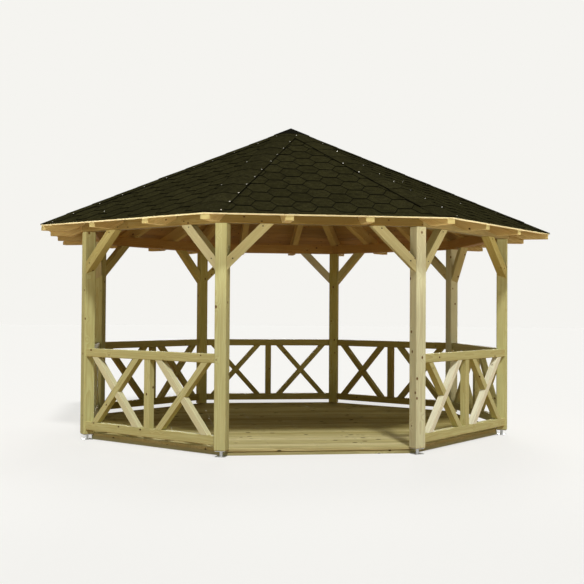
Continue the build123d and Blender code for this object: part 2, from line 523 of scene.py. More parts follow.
class Finish(Enum):
    """The gazebo's finishes, each named for the stuff that it is.

    A pine's five colours are its early wood, late wood, knots, weathered patches and end
    grain.
    """

    # Planed posts: pale straw with a green cast from the treatment
    POSTS = Pine(
        "planed_pine_posts", "#c5c68c", "#a69557", "#664a26", "#b3b176", "#9c955c",
        tone_spread=0.56, damp_and_shade_tint=0.42, knot_radius=0.014,
    )
    # Plates over the posts: the same pine, darker and browner as painted shade under the eave
    PLATES = Pine(
        "planed_pine_plates_painted_shade", "#a19564", "#80693d", "#3f2812", "#928050", "#8d7a4a",
        tone_spread=1.0, damp_and_shade_tint=0.3,
    )
    # Plates that only show from under the roof: spruce like the rafters, redder than the pine
    INNER_PLATES = Pine(
        "planed_spruce_plates", "#ac8b4e", "#89612e", "#3f2812", "#9c783e", "#8d7a4a",
        tone_spread=0.3,
    )
    # Knee braces: the posts' pine with less green, as they stand under the roof
    BRACES = Pine(
        "planed_pine_braces", "#bfb97e", "#9f8a4c", "#5d4322", "#aba368", "#a3985f",
        damp_and_shade_tint=0.3, knot_radius=0.015,
    )
    # Railings: pale in front, and darker and browner at the back, where their tones are painted
    # shade
    RAILINGS = Pine(
        "planed_pine_railings", "#c9c78f", "#a79658", "#5d4322", "#b7b37b", "#9c955c",
        tone_spread=1.1, damp_and_shade_tint=0.55,
    )
    # Rafters: redder, as planed spruce; their cut tails are weathered as pale as the posts
    RAFTERS = Pine("planed_spruce_rafters", "#cdb97c", "#9d8346", "#46290f", "#b49a5e", "#a39b66")
    # Boarding under the roof: sheltered spruce, a warm brown with small knots
    CEILING = Pine(
        "tongued_spruce_boarding", "#b2935a", "#845f33", "#3c240f", "#967546", "#967546",
        knot_radius=0.010, knot_spacing=0.085, tone_spread=0.36,
    )
    # The lowest boards: partly fresh sawn, and painted pale as painted sunlight on their edge, the
    # pale line under the shingles
    EAVE = Pine(
        "fresh_spruce_eave_board_painted_sunlight", "#e9e0b2", "#cbbb88", "#6a5230", "#dacf9b", "#dacf9b",
        tone_spread=0.12,
    )
    # Decking: planed boards with hard dark year lines; the boards behind the roof's shadow line
    # are darkened as painted shade (see Deck.tone). Its knots are drawn twice as wide as they
    # are, so that they show at this low angle
    DECKING = Pine(
        "decking_pine", "#c4ba80", "#7c7040", "#2c1e0d", "#a39963", "#b7ae76", ring_spacing=0.016,
        knot_spacing=0.17, knot_radius=0.026, roughness=0.76, tone_spread=0.8, damp_and_shade_tint=0.2,
        streak_depth=0.66, specular=0.0,
    )
    # Sawn bearers: rougher, with the ground's damp in them
    BEARERS = Pine(
        "sawn_pine_bearers", "#c3bf8b", "#8b8453", "#4a3a20", "#a6a06a", "#8b8453",
        roughness=0.85, relief=0.002,
    )
    # Felt faced with granules: a matt brown black, hardly different from tab to tab
    SHINGLES = Bitumen("granule_faced_bitumen", "#2f2d17", "#4a4734", "#222013", "#0a0a07")
    CAPS = Bitumen("bitumen_hip_capping", "#2f2d18", "#494633", "#232114", "#0a0a07")
    APEX = Bitumen("bitumen_apex_cap", "#1c1b14", "#2c2b22", "#151410", "#0a0a07")
    # Plated steel: dull grey feet, bright nails, brown deck screws and black structural screws
    FEET = Zinc("galvanised_steel", "#4c4e4f", "#3a3c3d", roughness=0.6, relief=0.0001)
    NAILS = Zinc("galvanised_clout_nails", "#e2dfd4", "#c4c0b2", roughness=0.36)
    SCREWS = Zinc("passivated_steel_screws", "#5a5244", "#3c372d", roughness=0.45)
    COUNTERSINKS = Zinc("blackened_steel_screws", "#1d1810", "#15110b", roughness=0.7)

    @property
    def made(self) -> bpy.types.Material:
        """The finish's material, built the first time that it is asked for."""
        return bpy.data.materials.get(self.value.name) or self.value.material()


def link(name: str, data: bpy.types.ID) -> bpy.types.Object:
    """Makes an object and puts it in the scene.

    Args:
        name: the object's name.
        data: its mesh, lamp or camera.

    Returns:
        The object.
    """
    made = bpy.data.objects.new(name, data)
    bpy.context.scene.collection.objects.link(made)
    return made


def to_mesh(shape: Shape, name: str) -> bpy.types.Mesh:
    """Turns a shape to a mesh and frees it.

    Args:
        shape: the shape.
        name: the mesh's name.

    Returns:
        The mesh.
    """
    data = bpy.data.meshes.new(name)
    shape.to_mesh(data)
    shape.free()
    return data


def cut(stock: Shape, planes: list[Plane], back: Matrix = Matrix()) -> None:
    """Saws off all that lies beyond each plane and closes the cuts.

    Args:
        stock: the closed shape to cut.
        planes: the planes.
        back: takes the planes' coordinates to the stock's.
    """
    for point, normal in planes:
        everything = stock.verts[:] + stock.edges[:] + stock.faces[:]
        bmesh.ops.bisect_plane(
            stock, geom=everything, dist=1e-6, plane_co=back @ point,
            plane_no=back.to_3x3() @ normal, clear_outer=True,
        )
        rim = [edge for edge in stock.edges if edge.is_boundary]
        if rim:
            bmesh.ops.holes_fill(stock, edges=rim, sides=0)


def block(length: float, width: float, thickness: float) -> Shape:
    """Makes a sharp block.

    Args:
        length: size along X.
        width: size along Y.
        thickness: size along Z.

    Returns:
        The closed shape, centred on the origin.
    """
    made = bmesh.new()
    bmesh.ops.create_cube(made, size=1.0)
    bmesh.ops.scale(made, vec=(length, width, thickness), verts=made.verts)
    return made


def ease(shape: Shape, edges: list[bmesh.types.BMEdge], offset: float, segments: int) -> None:
    """Eases edges.

    Args:
        shape: the shape to work on.
        edges: the edges.
        offset: how far they are eased.
        segments: faces in each eased edge, 1 for a chamfer.
    """
    bmesh.ops.bevel(
        shape, geom=edges, offset=offset, offset_type="OFFSET", segments=segments, profile=0.5,
        affect="EDGES", material=-1, clamp_overlap=True,
    )


def bar(length: float, width: float, thickness: float, arris: float, segments: int = 2) -> Shape:
    """Makes a timber along X, its width along Y, with eased long edges.

    Args:
        length: size along X.
        width: size along Y.
        thickness: size along Z.
        arris: how far the long edges are eased.
        segments: faces in each eased edge, 1 for a chamfer.

    Returns:
        The closed shape, centred on the origin.
    """
    timber = block(length, width, thickness)
    spans = [(edge, edge.verts[0].co.x - edge.verts[1].co.x) for edge in timber.edges]
    ease(timber, [edge for edge, span in spans if abs(span) > length / 2], arris, segments)
    return timber


def round_head(radius: float, height: float, sides: int = 10) -> Shape:
    """Makes the head of a nail or a screw, a flat disc that narrows a little to its top.

    Args:
        radius: its radius at the foot.
        height: its height.
        sides: its number of sides.

    Returns:
        The closed shape, centred, with its axis on Z.
    """
    made = bmesh.new()
    bmesh.ops.create_cone(
        made, cap_ends=True, segments=sides, radius1=radius, radius2=radius * 0.8, depth=height
    )
    return made


class Piece:
    """One object of the scene, filled timber by timber.

    Each timber keeps its own run of grain, its own tone and marks on its cut ends.
    """

    def __init__(self, name: str, seed: int) -> None:
        """Starts an empty piece.

        Args:
            name: the object's name.
            seed: the start of its chances, so that each run is alike.
        """
        self.name = name
        self.chance = random.Random(seed)
        self.mesh = bmesh.new()
        self.grain = self.mesh.verts.layers.float_vector.new("grain")
        self.tone = self.mesh.faces.layers.float.new("tone")
        self.end = self.mesh.faces.layers.float.new("end")

    def about(self, reach: float) -> float:
        """Picks a number by chance, up to the reach on either side of 0."""
        return self.chance.uniform(-reach, reach)

    def add(
        self, stock: Shape, place: Matrix, pith: float, tone: float | None = None,
        cut_ends: bool = True,
    ) -> None:
        """Adds a timber, made along its own X, and frees it.

        Args:
            stock: the timber in its own coordinates.
            place: where it goes.
            pith: about how far its pith lies from its middle line.
            tone: 0 for dark to 1 for pale, or None for chance.
            cut_ends: whether faces across X are marked as cut ends.
        """
        ends = [cut_ends and abs(face.normal.x) > 0.7 or face.select for face in stock.faces]
        data = to_mesh(stock, "stock")
        first_vert, first_face = len(self.mesh.verts), len(self.mesh.faces)
        self.mesh.from_mesh(data)
        bpy.data.meshes.remove(data)
        self.mesh.verts.ensure_lookup_table()
        self.mesh.faces.ensure_lookup_table()
        angle = self.chance.uniform(0, math.tau)
        # Somewhere along a 40 m stem, so that no two timbers share their knots
        start = self.chance.uniform(0, 40)
        heart = Vector((start, pith * math.cos(angle), pith * math.sin(angle)))
        shade = self.chance.random() if tone is None else tone
        for vert in self.mesh.verts[first_vert:]:
            vert[self.grain] = vert.co + heart
            vert.co = place @ vert.co
        for face, at_end in zip(self.mesh.faces[first_face:], ends):
            face[self.tone] = shade
            face[self.end] = 1.0 if at_end else 0.0

    def finish(self, finish: Finish, slot: str, *nodes: str) -> None:
        """Turns the piece to an object that rides with the gazebo.

        Args:
            finish: what it is made of.
            slot: the record's material slot; not used.
            nodes: the CAD nodes that it stands for.
        """
        bmesh.ops.recalc_face_normals(self.mesh, faces=self.mesh.faces)
        data = to_mesh(self.mesh, self.name)
        data.materials.append(finish.made)
        thing = link(self.name, data)
        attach(thing, "root")
        if nodes:
            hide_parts(*nodes)
        LOG.info("%s: %d faces, %s", self.name, len(data.polygons), finish.value.name)


def solids_of(node: str) -> list[Shape]:
    """Copies a CAD node, merged, and parts it into its separate solids.

    Args:
        node: the node's name.

    Returns:
        One closed shape for each solid.
    """
    whole = bmesh.new()
    whole.from_mesh(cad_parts[node].data)
    bmesh.ops.remove_doubles(whole, verts=whole.verts, dist=1e-5)
    bmesh.ops.dissolve_limit(whole, angle_limit=0.005, verts=whole.verts, edges=whole.edges)
    number = whole.verts.layers.int.new("solid")
    count = 0
    for start in whole.verts:
        if start[number]:
            continue
        count += 1
        front = [start]
        while front:
            vert = front.pop()
            vert[number] = count
            front += [n for e in vert.link_edges for n in e.verts if not n[number]]
    solids = []
    for wanted in range(1, count + 1):
        solid = whole.copy()
        layer = solid.verts.layers.int["solid"]
        others = [vert for vert in solid.verts if vert[layer] != wanted]
        bmesh.ops.delete(solid, geom=others, context="VERTS")
        solid.verts.layers.int.remove(layer)
        solids.append(solid)
    whole.free()
    return solids


def own_axes(solid: Shape) -> Matrix:
    """Finds a solid's own axes: X along its longest edge, Z out of its widest face.

    Args:
        solid: the closed shape in the model's frame.

    Returns:
        The matrix that takes the solid's own coordinates to the model's frame.
    """
    longest = max(solid.edges, key=lambda edge: edge.calc_length())
    along = (longest.verts[1].co - longest.verts[0].co).normalized()
    # Upwards, or if level towards the right, so that its sense doesn't hang on the mesh
    if along.z < -0.01 or (abs(along.z) <= 0.01 and along.x + along.y * 0.5 < 0):
        along = -along
    sides = [face for face in solid.faces if abs(face.normal.dot(along)) < 0.1]
    widest = max(sides, key=lambda face: face.calc_area()).normal.copy()
    out = (widest - along * widest.dot(along)).normalized()
    middle = Vector()
    for vert in solid.verts:
        middle += vert.co
    return axes_at(along, out.cross(along), out, middle / len(solid.verts))


@dataclass
class Joinery:
    """Timbers whose CAD solids are right as they are, with their edges eased."""

    name: str
    node: str
    finish: Finish
    slot: str
    seed: int
    tone: float | None = None
    arris: float = 0.0025
    cut_ends: bool = True
    pith: float = 0.045
    sharp_angle: float = 0.35

    def build(self) -> None:
        """Copies the solids, eases their sharp edges and gives each its grain."""
        piece = Piece(self.name, self.seed)
        for solid in solids_of(self.node):
            axes = own_axes(solid)
            bmesh.ops.transform(solid, matrix=axes.inverted(), verts=solid.verts)
            joined = [edge for edge in solid.edges if edge.is_manifold]
            sharp = [edge for edge in joined if edge.calc_face_angle(0.0) > self.sharp_angle]
            ease(solid, sharp, self.arris, 2)
            solid.normal_update()
            piece.add(solid, axes, self.pith, self.tone, self.cut_ends)
        piece.finish(self.finish, self.slot, self.node)


@dataclass
class Railing:
    """A bay's railing: chamfered rails, a middle stud and a halved cross on each side of it."""

    bay: Bay
    seed: int
    top: float = 0.996
    gap: float = 0.111
    rail_height: float = 0.090
    rail_thickness: float = 0.070
    rail_chamfer: float = 0.006
    infill_thickness: float = 0.068
    infill_arris: float = 0.003
    stud_width: float = 0.080
    brace_width: float = 0.068
    brace_offset: float = 0.125
    scribe: float = 0.001
    rail_stock: float = 2.4
    brace_stock: float = 1.6
    pith: float = 0.03
    # How pale each bay's timber is: the darker and browner tones of the bays behind are painted
    # shade
    tones: ClassVar[dict[Bay, float]] = {
        Bay.FRONT_LEFT: 0.47, Bay.FRONT_RIGHT: 0.45, Bay.LEFT: 0.4, Bay.RIGHT: 0.4,
        Bay.BACK_LEFT: 0.14, Bay.BACK: 0.14, Bay.BACK_RIGHT: 0.12,
    }
    # The braces painted paler than the rest, as painted sunlight on their tops, and their tone
    painted_sunlit_braces: ClassVar[dict[Bay, tuple[Half, float]]] = {
        Bay.FRONT_LEFT: (Half.INNER, 0.74), Bay.FRONT_RIGHT: (Half.OUTER, 0.94),
    }

    def __post_init__(self) -> None:
        """Starts the railing's piece."""
        self.piece = Piece("crossed_railing_" + self.bay.node_end, self.seed)

    @property
    def brace_bottom(self) -> float:
        """Height of the lower rail's top, where the braces start."""
        return self.gap + self.rail_height

    @property
    def brace_top(self) -> float:
        """Height of the top rail's underside, where the braces end."""
        return self.top - self.rail_height

    @property
    def rise(self) -> float:
        """Height of the space between the rails."""
        return self.brace_top - self.brace_bottom

    def shade(self) -> float:
        """Picks a timber's tone, near its bay's."""
        return self.tones[self.bay] + self.piece.about(0.05)

    def add(self, stock: Shape, place: Matrix, tone: float) -> None:
        """Adds a timber, placed in the wall that faces +X, to the bay's piece."""
        self.piece.add(stock, self.bay.turn @ place, self.pith, tone)

    def wall_place(self, along: float, height: float, lean: float) -> Matrix:
        """Place of a timber in the wall that faces +X, leaning up to its right.

        Args:
            along: how far to the right of the bay's middle, seen from outside.
            height: its middle's height.
            lean: its slope in radians, 0 for level.

        Returns:
            The matrix, with the timber's own Z out of the wall.
        """
        axes = Matrix(((0.0, 0.0, 1.0), (1.0, 0.0, 0.0), (0.0, 1.0, 0.0))).to_4x4()
        middle = Matrix.Translation((LAYOUT.wall_middle, along, height))
        return middle @ axes @ Matrix.Rotation(lean, 4, "Z")

    def rails(self) -> None:
        """Adds the two rails, scribed to the posts."""
        for level in (self.gap, self.brace_top):
            size = (self.rail_stock, self.rail_height, self.rail_thickness)
            rail = bar(*size, self.rail_chamfer, segments=1)
            place = self.wall_place(0.0, level + self.rail_height / 2, 0.0)
            cut(rail, LAYOUT.sides(LAYOUT.post_side / 2), place.inverted())
            self.add(rail, place, self.shade())

    def stud(self) -> None:
        """Adds the upright between the rails."""
        upright = bar(self.rise, self.stud_width, self.infill_thickness, self.infill_arris)
        place = self.wall_place(0.0, self.brace_bottom + self.rise / 2, QUARTER_TURN)
        self.add(upright, place, self.shade())

    def crosses(self) -> None:
        """Adds both crosses. From outside, the brace that rises to the right runs through."""
        span = LAYOUT.post_line - self.stud_width / 2
        lean = math.atan2(self.rise, span - 2 * self.brace_offset)
        for hand in HANDS:
            for half in Half:
                self.brace(hand * (self.stud_width + span) / 2, half.value * lean, half)

    def brace(self, along: float, lean: float, through: Half) -> None:
        """Adds one brace, notched to half its thickness where the other crosses it.

        Args:
            along: how far to the right of the bay's middle, seen from outside.
            lean: its slope in radians.
            through: the half that runs on through the crossing.
        """
        place = self.wall_place(along, self.brace_bottom + self.rise / 2, lean)
        other = Vector((-math.sin(-2 * lean), math.cos(-2 * lean), 0.0))
        notch = self.brace_width / 2 + self.scribe
        # A listed brace takes its paler tone, which is painted sunlight
        half, pale = self.painted_sunlit_braces.get(self.bay, (None, 0.0))
        shade = pale if half is through else self.shade()
        ends = [
            (Vector((LAYOUT.wall_middle, 0.0, level)), Vector((0.0, 0.0, way)))
            for level, way in ((self.brace_bottom, -1), (self.brace_top, 1))
        ]
        halving = (Vector(), Vector((0.0, 0.0, -through.value)))
        size = (self.brace_stock, self.brace_width, self.infill_thickness)
        for side in (-1, 0, 1):
            part = bar(*size, self.infill_arris)
            cut(part, ends, place.inverted())
            if side == 0:
                cut(part, [(other * notch, other), (other * -notch, -other), halving])
            else:
                cut(part, [(other * side * notch, other * -side)])
            # The three parts of a brace share one run of grain
            state = self.piece.chance.getstate()
            self.add(part, place, shade)
            if side < 1:
                self.piece.chance.setstate(state)

    def build(self) -> None:
        """Builds the railing."""
        self.rails()
        self.stud()
        self.crosses()
        self.piece.finish(Finish.RAILINGS, "railing_timber", "railing_" + self.bay.node_end)


@dataclass
class RoofBoards:
    """A slope's tongued and grooved boards along the eave, V-jointed on the side that shows."""

    bay: Bay
    number: int
    cover: float = 0.095
    thickness: float = 0.018
    vee: float = 0.004
    joint: float = 0.0008
    stock: float = 2.0
    waste: float = 0.02
    pith: float = 0.07
    # A row is left out where it would be shorter than this, half by half
    least_room: float = 0.03
    # Half the length from which a row may have butt joints on the jack rafters, and their share
    butt_reach: float = 0.62
    butt_share: float = 0.42

    def build(self) -> None:
        """Lays the slope's boards from the eave up; the lowest ones' edge shows."""
        piece = Piece("roof_boarding_" + self.bay.node_end, 400 + self.number)
        edge = Piece("eave_board_" + self.bay.node_end, 430 + self.number)
        place = LAYOUT.slope_place(self.bay)
        inward = place.inverted() @ self.bay.turn
        for row in range(int(LAYOUT.slope_length / self.cover) + 1):
            low = row * self.cover
            room = LAYOUT.board_end - low * math.cos(LAYOUT.pitch)
            if room < self.least_room:
                continue
            half = room * math.tan(LAYOUT.half_bay)
            wide = half > self.butt_reach
            joints = [h for h in HANDS if wide and piece.chance.random() < self.butt_share]
            if row == 0:
                joints = [1]
            butts = [hand * LAYOUT.rafter_spacing for hand in joints]
            edges = [-self.stock, *butts, self.stock]
            reach = half + self.waste
            for start, stop in zip(edges, edges[1:]):
                board = self.board(max(start, -reach), min(stop, reach), low)
                cut(board, LAYOUT.sides(0.0), inward)
                if board.faces:
                    (piece if row else edge).add(board, place, self.pith)
        piece.finish(Finish.CEILING, "roof_boarding", "roof_boards_" + self.bay.node_end)
        edge.finish(Finish.EAVE, "roof_boarding", "roof_boards_" + self.bay.node_end)

    def board(self, start: float, stop: float, low: float) -> Shape:
        """Makes one board in the slope's coordinates.

        Args:
            start: where it starts along the eave.
            stop: where it ends.
            low: how far up the slope its lower edge lies.

        Returns:
            The board, V-jointed on its underside.
        """
        width = self.cover - self.joint
        made = block(stop - start - self.joint, width, self.thickness)
        under = []
        for edge in made.edges:
            first, last = (vert.co for vert in edge.verts)
            if first.z < 0 and last.z < 0 and abs(first.y - last.y) < 1e-6:
                under.append(edge)
        ease(made, under, self.vee, 1)
        shift = Vector(((start + stop) / 2, low + width / 2, self.thickness / 2))
        bmesh.ops.translate(made, vec=shift, verts=made.verts)
        return made


@dataclass
class Shingles:
    """Hexagonal bitumen shingles: every other course steps half a pitch along."""

    pitch: float = 0.392
    exposure: float = 0.1382
    flat: float = 0.137
    splay: float = 0.4270
    length: float = 0.286
    thickness: float = 0.0026
    lift: float = 0.0054
    # Width of a band round each tab's top, painted black as painted shade of its outline
    rim: float = 0.006
    overhang: float = 0.0066
    first: float = 0.069
    middle: float = -0.021
    hip_gap: float = 0.002
    strip: float = 0.235
    strip_arris: float = 0.0006
    pith: float = 0.3
    # A few nails missed their cover, none of them near a hip
    missed_nails: float = 0.05
    nail_margin: float = 0.3
    nail_up: float = 0.07

    def __post_init__(self) -> None:
        """Starts the pieces of all eight slopes."""
        self.piece = Piece("hexagonal_shingles", 500)
        self.nails = Piece("shingle_nails", 560)

    def tab(self) -> Shape:
        """Makes one tab from its outline.

        Returns:
            The tab, its lower edge on X, with a darker rim of painted shade.
        """
        made = bmesh.new()
        half, side = self.flat / 2, self.pitch / 2
        tip = self.exposure * self.splay + half
        right = [(half, 0.0), (tip, self.exposure), (side, self.exposure), (side, self.length)]
        outline = [(-half, 0.0), *right, *[(-x, y) for x, y in right[:0:-1]]]
        corners = [made.verts.new((x, y, 0.0)) for x, y in outline]
        bmesh.ops.contextual_create(made, geom=corners)
        raised = bmesh.ops.extrude_face_region(made, geom=made.faces[:])["geom"]
        upper = [g for g in raised if isinstance(g, bmesh.types.BMVert)]
        bmesh.ops.translate(made, vec=(0.0, 0.0, self.thickness), verts=upper)
        top = [g for g in raised if isinstance(g, bmesh.types.BMFace)]
        inset = bmesh.ops.inset_region(made, faces=top, thickness=self.rim, use_even_offset=True)
        bmesh.ops.recalc_face_normals(made, faces=made.faces)
        # The band round the top is marked as edge and painted black: painted shade at the tab's
        # outline, besides the black of its cut sides
        for face in made.faces:
            face.select = abs(face.normal.z) < 0.5 or face in inset["faces"]
        return made

    def starter(self) -> Shape:
        """Makes the straight strip along the eave.

        Returns:
            The strip, in the slope's coordinates.
        """
        length = (LAYOUT.board_end + 0.02) * math.tan(LAYOUT.half_bay) * 2
        made = bar(length, self.strip, self.thickness, self.strip_arris, segments=1)
        raised = (0.0, self.strip / 2, self.thickness / 2)
        bmesh.ops.translate(made, vec=raised, verts=made.verts)
        made.normal_update()
        for face in made.faces:
            face.select = abs(face.normal.z) < 0.5
        laid = (0.0, -self.overhang, LAYOUT.board_thickness)
        bmesh.ops.translate(made, vec=laid, verts=made.verts)
        return made

    def build(self) -> None:
        """Shingles the eight slopes and trims them along the hips."""
        for bay in Bay:
            self.slope(bay)
        self.piece.finish(Finish.SHINGLES, "bitumen_shingles", "shingles")
        self.nails.finish(Finish.NAILS, "galvanised_steel")

    def slope(self, bay: Bay) -> None:
        """Lays one slope from the eave up.

        Args:
            bay: the bay under the slope.
        """
        base = LAYOUT.slope_place(bay)
        inward = base.inverted() @ bay.turn
        planes = LAYOUT.sides(self.hip_gap)
        chance, lost = self.piece.chance, self.nails.chance
        reach = LAYOUT.slope_length + self.overhang
        strip = self.starter()
        cut(strip, planes, inward)
        self.piece.add(strip, base, self.pith)
        course = 0
        while self.first + course * self.exposure < reach - 0.05:
            up = self.first + course * self.exposure
            half = (reach - up) * math.cos(LAYOUT.pitch) * math.tan(LAYOUT.half_bay)
            shift = self.middle + (0.0 if course % 2 else self.pitch / 2)
            columns = [shift + column * self.pitch for column in range(-5, 6)]
            for along in [x for x in columns if abs(x) < half + self.pitch / 2]:
                tab = self.tab()
                rise = self.lift + chance.uniform(0.0, 0.0012)
                tilt = Matrix.Rotation(-math.atan2(rise, self.length), 4, "X")
                skew = Matrix.Rotation(chance.uniform(-0.008, 0.008), 4, "Z")
                spot = (along, up - self.overhang, LAYOUT.board_thickness + rise)
                away = Matrix.Translation(spot) @ skew @ tilt
                bmesh.ops.transform(tab, matrix=away, verts=tab.verts)
                cut(tab, planes, inward)
                if abs(along) < half - self.nail_margin and lost.random() < self.missed_nails:
                    level = self.thickness + NAIL_STAND
                    spot = (self.nails.about(0.05), self.nail_up, level)
                    seat = base @ (away @ Matrix.Translation(spot))
                    self.nails.add(round_head(*NAIL_HEAD), seat, 0.02)
                if tab.faces:
                    self.piece.add(tab, base, self.pith)
            course += 1


@dataclass
class HipCaps:
    """Single pieces of felt folded over each hip, lapped upwards and nailed."""

    half_width: float = 0.155
    length: float = 0.36
    thickness: float = 0.0032
    arris: float = 0.0008
    base_lift: float = 0.026
    # Width of a band along each long edge, painted black as painted shade
    rim: float = 0.006
    fold_round: float = 0.018
    crease: float = 0.006
    hip_gap: float = 0.001
    # The lowest cap starts below the boards' edge and is cut off just beyond it
    drop: float = 0.05
    overhang: float = 0.014
    jitter: float = 0.012
    nail_inset: float = 0.017
    nail_up: float = 0.03
    laps: tuple[float, ...] = (0.0, 0.0005, 0.001, 0.003)
    steps: tuple[float, ...] = (0.0, 0.31, 0.60, 0.89, 1.185, 1.47, 1.82, 2.10, 2.39, 2.72, 3.01)
    # The next cap hides most of the nails: how many show on either side of the hip
    nailed: ClassVar[dict[int, float]] = {-1: 0.85, 1: 0.15}

    def __post_init__(self) -> None:
        """Starts the pieces of all eight hips."""
        self.caps = Piece("folded_hip_caps", 600)
        self.nails = Piece("clout_nails", 650)

    @property
    def fold(self) -> float:
        """How far each wing falls for every metre from the hip line."""
        fall = math.tan(LAYOUT.pitch)
        return fall * math.sin(LAYOUT.half_bay) / math.hypot(1.0, fall * math.cos(LAYOUT.half_bay))

    def hip_place(self, corner: Corner) -> Matrix:
        """Place of a hip line: X up the hip, Y across it and Z out.

        Args:
            corner: the corner that the hip runs to.

        Returns:
            The matrix, with its origin at the eave.
        """
        plan = LAYOUT.board_end / math.cos(LAYOUT.half_bay)
        fall = math.tan(LAYOUT.pitch) * math.cos(LAYOUT.half_bay)
        level = LAYOUT.rafter_top(LAYOUT.board_end) + self.base_lift / math.cos(LAYOUT.pitch)
        up = Vector((-1.0, 0.0, fall)).normalized()
        across = Vector((0.0, -1.0, 0.0))
        return corner.turn @ axes_at(up, across, up.cross(across), (plan, 0.0, level))

    def cap(self, length: float) -> Shape:
        """Makes one flat piece, folds it over the hip and rounds the fold.

        Args:
            length: its length up the hip.

        Returns:
            The closed shape, its lower edge at X = 0.
        """
        made = bar(length, self.half_width * 2, self.thickness, self.arris, segments=1)
        shift = (length / 2, 0.0, self.thickness / 2)
        bmesh.ops.translate(made, vec=shift, verts=made.verts)
        border, bend = self.half_width - self.rim, self.fold_round
        for line in (-border, -bend, -self.crease, self.crease, bend, border):
            everything = made.verts[:] + made.edges[:] + made.faces[:]
            spot = (0, line, 0)
            bmesh.ops.bisect_plane(made, geom=everything, plane_co=spot, plane_no=(0, 1, 0))
        made.normal_update()
        # Cut faces are marked as edge, and so are the bands along the long edges, painted black as
        # painted shade of the caps' sides
        for face in made.faces:
            face.select = face.normal.z < 0.5 or abs(face.calc_center_median().y) > border
        for vert in made.verts:
            reach = abs(vert.co.y)
            rounded = bend / 2 + reach * reach / (2 * bend)
            vert.co.z -= self.fold * (reach if reach > bend else rounded)
        return made

    def build(self) -> None:
        """Caps the eight hips and nails the caps at their lower corners."""
        for corner in Corner:
            place = self.hip_place(corner)
            for number, step in enumerate(self.steps):
                self.lap(corner, place, step, number == 0)
        self.caps.finish(Finish.CAPS, "bitumen_shingles", "hip_caps")
        self.nails.finish(Finish.NAILS, "galvanised_steel")

    def lap(self, corner: Corner, place: Matrix, step: float, lowest: bool) -> None:
        """Lays one cap over the one below and nails it.

        Args:
            corner: the corner that the hip runs to.
            place: the hip line's place.
            step: about how far up the hip the cap starts.
            lowest: whether it is the cap at the eave.
        """
        start = step + (-self.drop if lowest else self.caps.about(self.jitter))
        length = self.length + (self.drop if lowest else 0.0)
        rise = 0.0 if lowest else self.thickness + self.caps.chance.choice(self.laps)
        tilt = Matrix.Rotation(math.atan2(rise, length), 4, "Y")
        skew = Matrix.Rotation(self.caps.about(self.jitter), 4, "Z")
        away = Matrix.Translation((start, 0.0, rise)) @ skew @ tilt
        cap = self.cap(length)
        bmesh.ops.transform(cap, matrix=away, verts=cap.verts)
        planes = LAYOUT.sides(self.hip_gap)
        if lowest:
            turns = [hand * LAYOUT.half_bay for hand in HANDS]
            ways = [Vector((math.cos(turn), math.sin(turn), 0.0)) for turn in turns]
            planes = [((LAYOUT.board_end + self.overhang) * way, way) for way in ways] + planes
        cut(cap, planes, place.inverted() @ corner.turn)
        for hand in HANDS:
            if self.nails.chance.random() < self.nailed[hand]:
                self.drive(place @ away, hand, self.nail_up + (0.10 if lowest else 0.0))
        self.caps.add(cap, place, 0.3)

    def drive(self, place: Matrix, hand: int, along: float) -> None:
        """Drives one nail near a cap's lower corner.

        Args:
            place: the cap's place.
            hand: -1 or 1, for the cap's two wings.
            along: distance from the lower edge.
        """
        stray = self.nails.chance.uniform(-0.006, 0.004)
        across = hand * (self.half_width - self.nail_inset + stray)
        along += self.nails.chance.uniform(-0.006, 0.008)
        level = self.thickness - self.fold * abs(across) + NAIL_STAND
        spot = Matrix.Translation((along, across, level))
        lean = Matrix.Rotation(-hand * math.atan(self.fold), 4, "X")
        self.nails.add(round_head(*NAIL_HEAD), place @ spot @ lean, 0.02)


